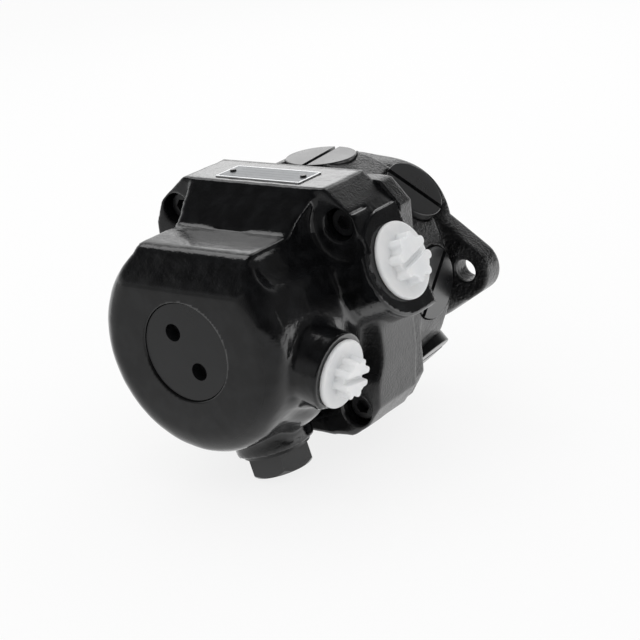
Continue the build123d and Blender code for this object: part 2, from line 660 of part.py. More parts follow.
def piston_spring(k):
    """The room that the return spring takes inside the hollow piston."""
    angle, y = plug_place(k)[:2]
    foot = PISTON_FOOT + PISTON_FLOOR
    tube = along_radius(PISTON_SPRING_R, foot, PLUG_THREAD_FOOT, angle, y)
    return tube - along_radius(PISTON_SPRING_R - 1.2, foot, PLUG_THREAD_FOOT, angle, y)


def slotted_plug(k):
    angle, y, seat, face, head_r, thread_r = plug_place(k)
    head = along_radius(head_r, seat, face, angle, y)
    head = fillet(head.edges().group_by(SortBy.LENGTH)[-1], 0.5)
    slot = radial(angle, y, face - PLUG_SLOT_DEPTH) * Rot(0, 0, PLUG_SLOT_TURN[k]) * Rectangle(
        3 * head_r, PLUG_SLOT_W)
    shank = along_radius(thread_r, PLUG_THREAD_FOOT, seat, angle, y)
    groove = along_radius(thread_r + 1, seat - PLUG_SEAL_H, seat, angle, y)
    groove -= along_radius(thread_r - PLUG_SEAL_W, seat - PLUG_SEAL_H, seat, angle, y)
    return head - extrude(slot, PLUG_SLOT_DEPTH) + (shank - groove)


def plug_seal(k):
    angle, y, seat, face, head_r, thread_r = plug_place(k)
    ring = along_radius(thread_r + THREAD_GAP, seat - PLUG_SEAL_H, seat, angle, y)
    return ring - along_radius(thread_r - PLUG_SEAL_W, seat - PLUG_SEAL_H, seat, angle, y)


def bearing_middle():
    return BEARING_SEAT_Y + BEARING_W / 2


def ball_groove():
    return Pos(0, bearing_middle(), 0) * Rot(90, 0, 0) * Torus(BALL_PITCH_R, BALL_R + SLIDE_GAP)


def outer_race():
    ring = ring_y(BEARING_R, BALL_PITCH_R + RACE_REACH, BEARING_SEAT_Y, BEARING_SEAT_Y + BEARING_W)
    return ring - ball_groove()


def inner_race():
    ring = ring_y(BALL_PITCH_R - RACE_REACH, BEARING_SHAFT_R, BEARING_SEAT_Y, BEARING_SEAT_Y + BEARING_W)
    return ring - ball_groove()


def balls():
    return [around(k * 360 / BALLS, BALL_PITCH_R, bearing_middle()) * Sphere(BALL_R) for k in range(BALLS)]


def ball_cage():
    cage = ring_y(BALL_PITCH_R + CAGE_T / 2, BALL_PITCH_R - CAGE_T / 2, bearing_middle() - CAGE_W / 2,
                  bearing_middle() + CAGE_W / 2)
    for k in range(BALLS):
        cage -= along_radius(BALL_R + SLIDE_GAP, BALL_PITCH_R - BALL_R, BALL_PITCH_R + BALL_R,
                             k * 360 / BALLS, bearing_middle())
    return cage


def circlip():
    y0 = BEARING_SEAT_Y + BEARING_W
    ring = ring_y(CIRCLIP_R, BEARING_R - 2.2, y0, y0 + CIRCLIP_W)
    return ring - Pos(0, y0 + CIRCLIP_W / 2, -BEARING_R) * Box(9, CIRCLIP_W, 8)


def shaft_seal():
    y0 = BEARING_SEAT_Y + BEARING_W + CIRCLIP_W
    y1 = BODY_LENGTH + SPIGOT_H - 0.5
    lip = BEARING_SHAFT_R + SLIDE_GAP
    wall = 1.6
    return turned([(BEARING_R, y0 + 0.4), (BEARING_R, y1), (lip + 3.47, y1), (lip + 0.6, y1 - 1.0),
                   (lip, y1 - 2.2), (lip + wall, y0 + 1.0), (lip + 3.0, y0 + 1.0), (lip + 4.07, y1 - wall),
                   (BEARING_R - wall, y1 - wall), (BEARING_R - wall, y0 + 0.4)])


def name_plate():
    plate = Pos(0, PLATE_Y, TOP_Z + PLATE_T / 2) * Box(PLATE_W, PLATE_D, PLATE_T)
    return fillet(plate.edges().filter_by(Axis.Z), 0.8)


def rivet(x):
    head = Pos(x, PLATE_Y, TOP_Z + PLATE_T + RIVET_H / 2) * Cylinder(RIVET_R, RIVET_H)
    return fillet(head.edges().group_by(Axis.Z)[-1], 0.5)


def main():
    os.makedirs("parts", exist_ok=True)
    save("rear_housing", rear_housing())
    save("front_housing", front_housing())
    save("rear_end_plug", rear_end_plug())
    save("end_plug_ring", end_plug_ring())
    save("housing_bolts", *[housing_bolt(x, z) for x, z in bolt_places()])
    save("name_plate", name_plate())
    save("plate_rivets", rivet(RIVET_X), rivet(-RIVET_X))
    save("suction_port_cap",
         port_cap(SUCTION_ANGLE, SUCTION_Y, SUCTION_FACE, SUCTION_CAP_R, SUCTION_THREAD_R, SUCTION_KNOB))
    save("pressure_port_cap",
         port_cap(PRESSURE_ANGLE, PRESSURE_Y, PRESSURE_FACE, PRESSURE_CAP_R, PRESSURE_THREAD_R,
                  PRESSURE_KNOB))
    save("valve_hex_plug", valve_plug())
    save("valve_plug_ring", valve_ring())
    save("valve_spool", valve_spool())
    save("valve_spring", valve_spring())
    save("cam_ring", cam_ring())
    save("rear_side_plate", rear_side_plate())
    save("front_side_plate", front_side_plate())
    save("dowel_pins", *[dowel(x, z) for x, z in dowel_places()])
    save("disc_spring", disc_spring())
    save("housing_seal", squeezed_ring(SEAL_R, SEAL_R - SEAL_W, SPLIT_Y, SPLIT_Y + SEAL_H))
    save("rotor", rotor())
    for k in range(VANES):
        save(f"vane_{k + 1:02d}", vane(k))
    save("rear_needle_bush", ring_y(BUSH_REAR_R, REAR_JOURNAL_R + SLIDE_GAP, CARTRIDGE_Y + 1, CAM_Y - 0.5))
    save("front_needle_bush",
         ring_y(BUSH_FRONT_R, FRONT_JOURNAL_R + SLIDE_GAP, SPLIT_Y + 1, FLANGE_END_Y - 1))
    save("drive_shaft", drive_shaft())
    save("shaft_key", key())
    save("eccentric_ring", eccentric_ring())
    for k in range(PLUGS):
        save(f"piston_{k + 1}", piston(k))
    save("piston_springs", *[piston_spring(k) for k in range(PLUGS)])
    save("slotted_plugs", *[slotted_plug(k) for k in range(PLUGS)])
    save("plug_seals", *[plug_seal(k) for k in range(PLUGS)])
    save("bearing_outer_race", outer_race())
    save("bearing_inner_race", inner_race())
    save("bearing_balls", *balls())
    save("bearing_cage", ball_cage())
    save("bearing_circlip", circlip())
    save("shaft_seal", shaft_seal())


main()
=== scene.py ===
"""Dresses the tandem steering pump: cast skins, paint, plastic caps, name plate and a studio.

Places are in metres: x to the pump's right, y along the shaft, z up to the name plate. The five
pieces made here, two cast skins, two caps and a spring, stand for the CAD nodes of their shape."""
import json

import bmesh
import bpy
import numpy as np
from mathutils import Matrix, Vector


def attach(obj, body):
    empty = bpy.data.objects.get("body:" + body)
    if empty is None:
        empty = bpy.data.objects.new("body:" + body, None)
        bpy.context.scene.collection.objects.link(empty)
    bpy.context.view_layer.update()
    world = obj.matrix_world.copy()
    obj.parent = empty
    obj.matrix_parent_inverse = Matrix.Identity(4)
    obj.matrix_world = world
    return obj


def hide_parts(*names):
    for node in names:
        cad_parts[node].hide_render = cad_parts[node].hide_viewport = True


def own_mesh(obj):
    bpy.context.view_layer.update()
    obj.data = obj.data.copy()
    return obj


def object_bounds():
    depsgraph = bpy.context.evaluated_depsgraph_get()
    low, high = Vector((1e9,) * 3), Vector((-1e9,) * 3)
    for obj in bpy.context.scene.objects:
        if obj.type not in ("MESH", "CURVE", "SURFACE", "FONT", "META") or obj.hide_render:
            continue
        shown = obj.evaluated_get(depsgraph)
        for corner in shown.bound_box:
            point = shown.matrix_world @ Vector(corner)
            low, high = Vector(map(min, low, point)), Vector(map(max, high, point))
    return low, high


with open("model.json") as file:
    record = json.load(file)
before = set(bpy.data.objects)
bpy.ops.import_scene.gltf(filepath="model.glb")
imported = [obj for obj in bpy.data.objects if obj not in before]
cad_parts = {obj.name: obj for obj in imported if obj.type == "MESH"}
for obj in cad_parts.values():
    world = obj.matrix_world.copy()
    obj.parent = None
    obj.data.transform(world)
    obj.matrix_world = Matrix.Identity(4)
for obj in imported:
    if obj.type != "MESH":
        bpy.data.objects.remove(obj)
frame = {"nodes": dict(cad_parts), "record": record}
cad_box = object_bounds()
slot_of = {part["node"]: part["material_slot"] for part in frame["record"]["subparts"]}

REAR = -0.141            # rear face of the pump
JOINT = -0.053           # where the two castings meet
BLOCK_REAR = -0.086      # rear side of the square block
DRUM_R = 0.0425          # the rear casting's cavities lie inside this radius
END_PLUG_R, END_PLUG_DEPTH = 0.0228, 0.0135
SCREW_X, SCREW_Z, SCREW_HOLE_R = 0.045, 0.043, 0.0072
SCREW_SEAT_DEPTH = 0.058
CORE_R = 0.02            # a bore counts only on its own side of the shaft, past this radius

# Ports and valve: turn about the shaft in degrees, distance from the rear face, height of the face.
SUCTION_TURN, SUCTION_DEPTH, SUCTION_FACE = 20.2, 0.0745, 0.0678
PRESSURE_TURN, PRESSURE_DEPTH, PRESSURE_FACE = -9.8, 0.0261, 0.0614
VALVE_TURN, VALVE_DEPTH = -75.0, 0.035
RIM_BEND = 0.0008        # radius of the roll at the rims of the port faces
PORT_RIMS = (            # turn, depth, face, outside, bore, drawn out straight to the joint
    (SUCTION_TURN, SUCTION_DEPTH, SUCTION_FACE, 0.0242, 0.0140, True),
    (PRESSURE_TURN, PRESSURE_DEPTH, PRESSURE_FACE, 0.0176, 0.0120, False))
MACHINED_BORES = (       # turn, depth, radius
    (SUCTION_TURN, SUCTION_DEPTH, 0.0155),
    (PRESSURE_TURN, PRESSURE_DEPTH, 0.0130),
    (VALVE_TURN, VALVE_DEPTH, 0.0150))

PLUGS = 8
PLUG_ROWS = ((-0.0295, 0.0, 0.0172), (-0.0195, -2.0, 0.0156))  # y, turn, head radius
EAR_X, EAR_HOLE_R = 0.0615, 0.0066
FRONT_DRUM_R = 0.047
FLANGE_R, FLANGE_BACK = 0.0506, -0.0170  # the mounting flange's radius and where it starts
LOBE_RISE = 0.0070       # how far the flange swells out at a lobe
LOBE_TURN, LOBE_HALF = 43.0, 40.0        # turn of a lobe's middle and half its width, in degrees

PLATE_Y = -0.0705        # middle of the name plate
PLATE_HALF_X, PLATE_HALF_Y = 0.0222, 0.0075  # inside of its raised frame
ROW_PITCH, ROW_HALF = 0.0017, 0.0168


def out_of(angle):
    """The direction from the shaft at an angle in degrees, from the right hand side upwards."""
    return np.cos(np.radians(angle)), 0.0, np.sin(np.radians(angle))


# ---------------------------------------------------------------- materials

class Graph:
    """A node tree with short calls for the kinds of node that the finishes and the room need."""

    def __init__(self, tree):
        self.nodes, self.links = tree.nodes, tree.links

    def math(self, kind, a, b=0.0, c=0.0):
        node = self.nodes.new("ShaderNodeMath")
        node.operation = kind
        for socket, value in zip(node.inputs, (a, b, c)):
            if isinstance(value, (int, float)):
                socket.default_value = value
            else:
                self.links.new(value, socket)
        return node.outputs[0]

    def ramp(self, value, low, high, out_low=0.0, out_high=1.0):
        """Maps low..high smoothly to out_low..out_high."""
        node = self.nodes.new("ShaderNodeMapRange")
        node.interpolation_type = "SMOOTHSTEP"
        for socket, number in zip(("From Min", "From Max", "To Min", "To Max"),
                                  (low, high, out_low, out_high)):
            node.inputs[socket].default_value = number
        self.links.new(value, node.inputs["Value"])
        return node.outputs["Result"]


class Paint(Graph):
    """A material on object coordinates."""

    def __init__(self, name, colour, rough, metallic=0.0, **sockets):
        self.material = bpy.data.materials.new(name)
        self.material.use_nodes = True
        super().__init__(self.material.node_tree)
        self.shader = self.nodes["Principled BSDF"]
        self.shader.inputs["Base Color"].default_value = (*colour, 1.0)
        self.shader.inputs["Roughness"].default_value = rough
        self.shader.inputs["Metallic"].default_value = metallic
        for socket, value in sockets.items():
            self.shader.inputs[socket.replace("_", " ")].default_value = value
        self.place = self.nodes.new("ShaderNodeTexCoord").outputs["Object"]
        self.normal = None

    def noise(self, scale, detail=2.0, rough=0.5, stretch=(1, 1, 1)):
        """Fractal noise; scale is the number of lumps per metre."""
        place = self.nodes.new("ShaderNodeMapping")
        place.inputs["Scale"].default_value = stretch
        self.links.new(self.place, place.inputs["Vector"])
        noise = self.nodes.new("ShaderNodeTexNoise")
        noise.inputs["Scale"].default_value = scale
        noise.inputs["Detail"].default_value = detail
        noise.inputs["Roughness"].default_value = rough
        self.links.new(place.outputs["Vector"], noise.inputs["Vector"])
        return noise.outputs["Fac"]

    def axis(self, which):
        """One coordinate of the surface point, in metres."""
        split = self.nodes.new("ShaderNodeSeparateXYZ")
        self.links.new(self.place, split.inputs["Vector"])
        return split.outputs[which]

    def mix(self, amount, first, second):
        """Blends two colours by an amount from 0 to 1."""
        node = self.nodes.new("ShaderNodeMix")
        node.data_type = "RGBA"
        self.links.new(amount, node.inputs["Factor"])
        for socket, colour in ((node.inputs[6], first), (node.inputs[7], second)):
            if isinstance(colour, tuple):
                socket.default_value = (*colour, 1.0)
            else:
                self.links.new(colour, socket)
        return node.outputs[2]

    def bump(self, height, distance, strength=1.0):
        """Adds relief; distance is the height in metres of a full step of the pattern."""
        node = self.nodes.new("ShaderNodeBump")
        node.inputs["Strength"].default_value = strength
        node.inputs["Distance"].default_value = distance
        self.links.new(height, node.inputs["Height"])
        if self.normal is not None:
            self.links.new(self.normal, node.inputs["Normal"])
        self.normal = node.outputs["Normal"]
        self.links.new(self.normal, self.shader.inputs["Normal"])

    def set(self, socket, value):
        self.links.new(value, self.shader.inputs[socket])


def cast_paint():
    """Gloss black enamel over sand-cast iron: soft lumps everywhere, sand grain that is strong
    on the front casting and on the flanks of the block, and a slightly uneven black. The suction
    boss is smooth, and the turned rear face is smooth and less shiny."""
    p = Paint("cast_paint_gloss", (0.0045, 0.0046, 0.005), 0.2, IOR=1.5, Coat_Weight=0.25,
              Coat_Roughness=0.05)
    flank = p.math("MULTIPLY", p.ramp(p.math("ABSOLUTE", p.axis(0)), 0.036, 0.043),
                   p.ramp(p.axis(1), BLOCK_REAR, BLOCK_REAR + 0.004))
    front = p.ramp(p.axis(1), JOINT - 0.003, JOINT + 0.001)
    to_x, _, to_z = out_of(SUCTION_TURN)
    height = p.math("ADD", p.math("MULTIPLY", p.axis(0), to_x),
                    p.math("MULTIPLY", p.axis(2), to_z))
    below_boss = p.ramp(height, SUCTION_FACE - 0.0048, SUCTION_FACE - 0.0028, 1.0, 0.0)
    sandy = p.math("MAXIMUM", p.math("MULTIPLY", flank, below_boss), front)
    cast = p.ramp(p.axis(1), REAR + 0.0006, REAR + 0.0040)
    grainy = p.math("MULTIPLY", p.math("MULTIPLY_ADD", sandy, 0.9, 0.1), cast)
    p.bump(p.math("MULTIPLY", p.noise(75.0, 2.0, 0.5), cast), 0.0010, 0.14)
    p.bump(p.math("MULTIPLY", p.noise(430.0, 3.0, 0.6), cast), 0.00045, 0.30)
    p.bump(p.math("MULTIPLY", p.noise(1000.0, 3.0, 0.6), grainy), 0.00032, 1.0)
    pits = p.ramp(p.noise(620.0, 2.0, 0.6), 0.40, 0.62)
    p.bump(p.math("MULTIPLY", pits, front), 0.00030, 0.6)
    p.set("Base Color", p.mix(p.ramp(p.noise(160.0, 3.0), 0.4, 0.7),
                              (0.0035, 0.0036, 0.004), (0.0075, 0.0078, 0.0085)))
    turned = p.ramp(p.axis(1), REAR + 0.0006, REAR + 0.0012, 1.0, 0.0)
    p.set("Roughness", p.math("ADD", p.math("MULTIPLY_ADD", sandy, 0.15, 0.13),
                              p.math("MULTIPLY", turned, 0.16)))
    return p.material


def satin_machined(name, colour, rough):
    """Machined steel under thin satin black: a very fine grain and a few paler clouds."""
    p = Paint(name, colour, rough, IOR=1.55, Coat_Weight=0.3, Coat_Roughness=0.18)
    fine = p.noise(2200.0, 2.0, 0.6)
    cloudy = p.noise(60.0, 3.0, 0.6)
    p.set("Base Color", p.mix(p.ramp(cloudy, 0.35, 0.7), colour, tuple(1.35 * c for c in colour)))
    p.set("Roughness", p.math("MULTIPLY_ADD", cloudy, 0.16, rough - 0.08))
    p.bump(fine, 0.00006, 0.5)
    return p.material


def plain_metal(name, colour, rough):
    """Bare machined metal: bright, with a fine grain and a few duller clouds."""
    p = Paint(name, colour, rough, 1.0)
    p.set("Roughness", p.math("MULTIPLY_ADD", p.noise(900.0, 3.0, 0.6), 0.25, rough - 0.1))
    p.set("Base Color", p.mix(p.noise(140.0, 3.0), colour, tuple(0.78 * c for c in colour)))
    p.bump(p.noise(1800.0, 2.0), 0.00004, 0.4)
    return p.material


def cap_plastic():
    """Natural polyethylene: milky, light goes some way in, soft waxy shine, faint flow clouds."""
    p = Paint("cap_plastic", (0.84, 0.86, 0.88), 0.34, IOR=1.5, Subsurface_Weight=0.9,
              Subsurface_Scale=0.004, Transmission_Weight=0.12)
    p.shader.inputs["Subsurface Radius"].default_value = (1.0, 1.0, 1.0)
    cloud = p.ramp(p.noise(110.0, 3.0), 0.3, 0.7)
    p.set("Base Color", p.mix(cloud, (0.87, 0.885, 0.90), (0.94, 0.95, 0.96)))
    p.set("Roughness", p.math("MULTIPLY_ADD", p.noise(400.0), 0.18, 0.26))
    p.bump(p.noise(260.0, 2.0), 0.0002, 0.35)
    return p.material


def seal_rubber():
    """Dull black rubber with a very fine grain."""
    p = Paint("seal_rubber", (0.012, 0.012, 0.013), 0.55)
    p.bump(p.noise(1800.0, 2.0), 0.00005, 0.5)
    p.set("Roughness", p.math("MULTIPLY_ADD", p.noise(300.0), 0.2, 0.45))
    return p.material


def plate_metal():
    """Thin aluminium plate: bright raised frame, grey brushed ground, blank ruled rows."""
    p = Paint("plate_metal", (0.34, 0.35, 0.36), 0.36, 0.85)
    x = p.math("ABSOLUTE", p.axis(0))
    along = p.math("ADD", p.axis(1), -PLATE_Y)
    y = p.math("ABSOLUTE", along)
    edge = p.math("MAXIMUM", p.ramp(x, PLATE_HALF_X, PLATE_HALF_X + 0.0002),
                  p.ramp(y, PLATE_HALF_Y, PLATE_HALF_Y + 0.0002))
    rows = p.ramp(p.math("PINGPONG", along, ROW_PITCH), 0.00010, 0.00022, 1.0, 0.0)
    rule = p.math("MULTIPLY", rows, p.ramp(x, ROW_HALF, ROW_HALF + 0.0002, 1.0, 0.0))
    grain = p.noise(700.0, 3.0, 0.6, (1, 12, 1))
    ground = p.mix(p.math("MULTIPLY", rule, 0.6), (0.24, 0.25, 0.26), (0.05, 0.05, 0.052))
    p.set("Base Color", p.mix(edge, ground, (0.86, 0.87, 0.88)))
    p.set("Roughness", p.math("MULTIPLY_ADD", grain, 0.22, 0.26))
    p.bump(p.math("SUBTRACT", edge, rule), 0.00015, 0.6)
    p.bump(grain, 0.00004, 0.4)
    return p.material


FINISHES = {
    "casting_paint": cast_paint(),
    "dark_steel": satin_machined("dark_steel", (0.0065, 0.0068, 0.0074), 0.30),
    "plate_metal": plate_metal(),
    "white_plastic": cap_plastic(),
    "seal_rubber": seal_rubber(),
    "soft_metal": plain_metal("soft_metal", (0.62, 0.62, 0.60), 0.35),
    "bright_steel": plain_metal("bright_steel", (0.56, 0.57, 0.58), 0.25),
    "bronze": plain_metal("bronze", (0.55, 0.36, 0.16), 0.35),
    "cage_brass": plain_metal("cage_brass", (0.62, 0.46, 0.18), 0.32),
    "spring_steel": plain_metal("spring_steel", (0.30, 0.31, 0.33), 0.3),
}
finish_of = {node: FINISHES[slot] for node, slot in slot_of.items()}
finish_of["valve_plug_ring"] = FINISHES["dark_steel"]  # painted over with the housing


def paint_piece(piece, node):
    """Gives a piece its node's finish, over whatever slots it came with."""
    piece.data.materials.clear()
    piece.data.materials.append(finish_of[node])


for node, part in frame["nodes"].items():
    paint_piece(part, node)


# ---------------------------------------------------------------- cast and moulded skins

def waves(points, length, seed, count=36):
    """Soft random relief: the sum of plane waves of about one length, each with its own
    direction and start, divided by the root of their number."""
    rng = np.random.default_rng(seed)
    way = rng.normal(size=(count, 3))
    way /= np.linalg.norm(way, axis=1)[:, None]
    way *= 2 * np.pi / (length * rng.uniform(0.7, 1.5, count))[:, None]
    return np.sin(points @ way.T + rng.uniform(0, 6.28, count)).sum(1) / np.sqrt(count)


def new_piece(node, name):
    """A new piece with the node's shape as one joined mesh, its loose triangles merged."""
    mesh = frame["nodes"][node].data.copy()
    work = bmesh.new()
    work.from_mesh(mesh)
    bmesh.ops.remove_doubles(work, verts=work.verts, dist=2e-6)
    work.to_mesh(mesh)
    work.free()
    piece = bpy.data.objects.new(name, mesh)
    bpy.context.scene.collection.objects.link(piece)
    return piece


def stands_for(piece, node, body):
    """The piece takes the node's place on its body, with the node's finish."""
    paint_piece(piece, node)
    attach(piece, body)
    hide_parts(node)


def face_normals(points, quads):
    """Outward direction at each point: the sum of its cells' areas, as vectors, made one long."""
    across = points[quads]
    area = np.cross(across[:, 2] - across[:, 0], across[:, 3] - across[:, 1])
    total = np.stack([np.bincount(quads.ravel(), np.repeat(area[:, k], 4), len(points))
                      for k in range(3)], 1)
    return total / np.maximum(np.linalg.norm(total, axis=1), 1e-12)[:, None]


def relaxed(points, edges, quads, free, rounds, edge_rounds):
    """Cast corners: each free point moves towards the middle of its neighbours, by half the way
    in a hollow, so that fillets fill up; on an outer edge it does so for the first rounds only."""
    a, b = edges.T
    count = np.maximum(np.bincount(np.concatenate([a, b]), minlength=len(points)), 1)[:, None]
    for turn in range(rounds):
        total = np.stack([np.bincount(a, points[b, k], len(points))
                          + np.bincount(b, points[a, k], len(points)) for k in range(3)], 1)
        way = total / count - points
        hollow = (way * face_normals(points, quads)).sum(1) > 0
        share = np.where(hollow, 0.5, 0.5 if turn < edge_rounds else 0.04)
        points = points + (free * share)[:, None] * way
    return points


def cells_of(node, name, cell):
    """The node's shape built up again from even four-sided cells that keep its sharp edges:
    its piece, points, edges and cells."""
    piece = new_piece(node, name)
    bpy.context.view_layer.update()
    remesh = piece.modifiers.new("cells", "REMESH")
    remesh.mode, remesh.octree_depth, remesh.use_remove_disconnected = "SHARP", 8, False
    remesh.scale = min(0.99, max(piece.dimensions) / (cell * 2 ** 8))
    depsgraph = bpy.context.evaluated_depsgraph_get()
    mesh = bpy.data.meshes.new_from_object(piece.evaluated_get(depsgraph))
    piece.modifiers.clear()
    piece.data = mesh
    points = np.empty(len(mesh.vertices) * 3)
    mesh.vertices.foreach_get("co", points)
    edges = np.empty(len(mesh.edges) * 2, np.int64)
    mesh.edges.foreach_get("vertices", edges)
    quads = np.empty(len(mesh.loops), np.int64)
    mesh.loops.foreach_get("vertex_index", quads)
    return piece, points.reshape(-1, 3), edges.reshape(-1, 2), quads.reshape(-1, 4)


def skin(name, node, body, cell, rounds, free_rule, edge_rounds=4, lump=0.0, first_shape=None,
         soft_spots=(), last_shape=None):
    """A moulded piece in place of its node: free edges and corners rounded, the free surface
    slightly wavy along its normal. It never leaves the node's own box."""
    piece, points, edges, quads = cells_of(node, name, cell)
    low, high = points.min(0), points.max(0)
    free = free_rule(points)
    if first_shape:
        points = first_shape(points)
    points = relaxed(points, edges, quads, free, rounds, edge_rounds)
    for near, extra in soft_spots:
        points = relaxed(points, edges, quads, free * near(points), extra, extra)
    relief = lump * (0.7 * waves(points, 0.011, 3) + 0.3 * waves(points, 0.0045, 5))
    points = np.clip(points + face_normals(points, quads) * (free * relief)[:, None], low, high)
    if last_shape:
        points = last_shape(points)
    mesh = piece.data
    mesh.vertices.foreach_set("co", points.ravel())
    mesh.polygons.foreach_set("use_smooth", np.ones(len(mesh.polygons), bool))
    stands_for(piece, node, body)
    mesh.update()


def step(value, low, high):
    """0 below low, 1 above high, straight between."""
    return np.clip((value - low) / (high - low), 0.0, 1.0)


def from_axis(points, foot, way):
    """Distance of each point from a line, and its place along that line."""
    along = (points - foot) @ way
    return np.linalg.norm(points - foot - along[:, None] * way, axis=1), along


def rear_free(points):
    """1 on the outside of the rear casting; 0 in its bores, at its screws and under its caps."""
    radius = np.hypot(points[:, 0], points[:, 2])
    depth = points[:, 1] - REAR
    outside = step(radius, DRUM_R, DRUM_R + 0.0015)
    rear_end = (step(END_PLUG_DEPTH - depth, 0.0, 0.001)
                * step(radius, END_PLUG_R, END_PLUG_R + 0.0008))
    free = np.maximum(outside, rear_end) * step(JOINT - points[:, 1], 0.0002, 0.0006)
    for sx in (1, -1):
        for sz in (1, -1):
            far = np.hypot(points[:, 0] - sx * SCREW_X, points[:, 2] - sz * SCREW_Z)
            free *= np.maximum(step(far, SCREW_HOLE_R, SCREW_HOLE_R + 0.0012),
                               step(SCREW_SEAT_DEPTH - depth, 0.0, 0.001))
    for angle, place, bore in MACHINED_BORES:
        foot = np.array([0.0, REAR + place, 0.0])
        far, along = from_axis(points, foot, np.array(out_of(angle)))
        free *= np.maximum(step(far, bore, bore + 0.001), step(CORE_R - along, 0.0, 0.001))
    return free


def plug_and_ear_free(points):
    """1 on the outside of the front casting, its end faces too; 0 in its bores and at its plugs."""
    radius = np.hypot(points[:, 0], points[:, 2])
    free = step(radius, FRONT_DRUM_R, FRONT_DRUM_R + 0.002)
    for k in range(PLUGS):
        y, turn, head = PLUG_ROWS[k % 2]
        way = np.array(out_of(k * 360 / PLUGS + turn))
        far, along = from_axis(points, np.array([0.0, y, 0.0]), way)
        free *= np.maximum(step(far, head + 0.0004, head + 0.0012),
                           step(CORE_R - along, 0.0, 0.001))
    for sx in (1, -1):
        far = np.hypot(points[:, 0] - sx * EAR_X, points[:, 2])
        free *= step(far, EAR_HOLE_R, EAR_HOLE_R + 0.0008)
    return free


def front_free(points):
    """1 on the outside of the front casting; 0 in its bores, at its plugs and end faces."""
    ends = step(-points[:, 1], 0.0002, 0.0008) * step(points[:, 1] - JOINT, 0.0002, 0.0006)
    return plug_and_ear_free(points) * ends


def rolled_rims(points):
    """The face rims of the two port bosses: near a rim the surface is set on a quarter of a torus
    of one bend, so that the rim is an even roll; the flat and the wall beside it are trued. The
    suction boss is a half round drawn out straight towards the joint."""
    points = points.copy()
    for angle, place, face, outer, inner, drawn_out in PORT_RIMS:
        way = np.array(out_of(angle))
        foot = np.array([0.0, REAR + place, 0.0])
        along = (points - foot) @ way
        across = points - foot - along[:, None] * way
        if drawn_out:
            across[:, 1] = np.minimum(across[:, 1], 0.0)
        far = np.maximum(np.linalg.norm(across, axis=1), 1e-9)
        side, up = far - (outer - RIM_BEND), along - (face - RIM_BEND)
        gap = np.maximum(np.hypot(side, up), 1e-9)
        here = points[:, 1] < JOINT - 0.002
        roll = here & (side > 0) & (up > 0) & (np.abs(gap - RIM_BEND) < 0.0009)
        flat = here & (side <= 0) & (np.abs(up - RIM_BEND) < 0.0008) & (far > inner)
        wall = here & (up <= 0) & (up > -0.003) & (np.abs(side - RIM_BEND) < 0.0006)
        new_far = np.where(roll, outer - RIM_BEND + side * RIM_BEND / gap,
                           np.where(wall, outer, far))
        new_along = np.where(roll, face - RIM_BEND + up * RIM_BEND / gap,
                             np.where(flat, face, along))
        points += across * (new_far / far - 1)[:, None] + (new_along - along)[:, None] * way
    return points


def lobed_flange(points):
    """The front flange swells out round the two upper plugs of the second row: its radius is its
    own plus the lobe's rise times a bell (a squared cosine) of the angle from the plug."""
    radius = np.hypot(points[:, 0], points[:, 2])
    angle = np.degrees(np.arctan2(points[:, 2], points[:, 0]))
    off = np.abs((angle - LOBE_TURN + 45.0) % 90.0 - 45.0)
    bell = np.cos(np.radians(np.minimum(off * 90.0 / LOBE_HALF, 90.0))) ** 2
    target = FLANGE_R + LOBE_RISE * bell * step(points[:, 2], 0.0, 0.02)
    rise = (step(points[:, 1], FLANGE_BACK, FLANGE_BACK + 0.0085)
            * step(radius, FRONT_DRUM_R, FRONT_DRUM_R + 0.002))
    rise = rise * rise * (3 - 2 * rise) * plug_and_ear_free(points)
    grown = radius + rise * np.maximum(target - radius, 0.0)
    swell = grown / np.maximum(radius, 1e-9)
    return points * np.stack([swell, np.ones_like(radius), swell], 1)


def around(spot, radius):
    """1 near a spot, fading to 0 at the radius."""
    return lambda points: 1 - step(np.linalg.norm(points - np.array(spot), axis=1),
                                   0.6 * radius, radius)


def cap_free(angle, face):
    """1 on the part of a cap that stands outside its port, 0 down in the thread."""
    way = np.array(out_of(angle))
    return lambda points: step(points @ way, face + 0.0002, face + 0.0006)


def sprung_coil():
    """The limiting valve's spring: it stands on the hex plug and the spool presses it together."""
    coil = new_piece("valve_spring", "valve_spring_coil")
    stands_for(coil, "valve_spring", "housing")
    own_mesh(coil)


upper_hollows = [(around((sx * 0.041, REAR + 0.010, 0.033), 0.010), 14) for sx in (1, -1)]
lower_hollows = [(around((sx * 0.044, REAR + 0.021, -0.031), 0.018), 110) for sx in (1, -1)]
ear_roots = [(around((sx * 0.052, -0.0055, sz * 0.021), 0.013), 50)
             for sx in (1, -1) for sz in (1, -1)]
skin("rear_cast_skin", "rear_housing", "housing", 0.00105, 22, rear_free, lump=0.00006,
     soft_spots=upper_hollows + lower_hollows, last_shape=rolled_rims)
skin("front_cast_skin", "front_housing", "housing", 0.00098, 22, front_free, lump=0.00007,
     first_shape=lobed_flange, soft_spots=ear_roots)
sprung_coil()
skin("suction_cap_moulding", "suction_port_cap", "suction_cap", 0.00042, 6,
     cap_free(SUCTION_TURN, SUCTION_FACE), edge_rounds=2)
skin("pressure_cap_moulding", "pressure_port_cap", "pressure_cap", 0.00040, 6,
     cap_free(PRESSURE_TURN, PRESSURE_FACE), edge_rounds=2)


# ---------------------------------------------------------------- floor, light, camera

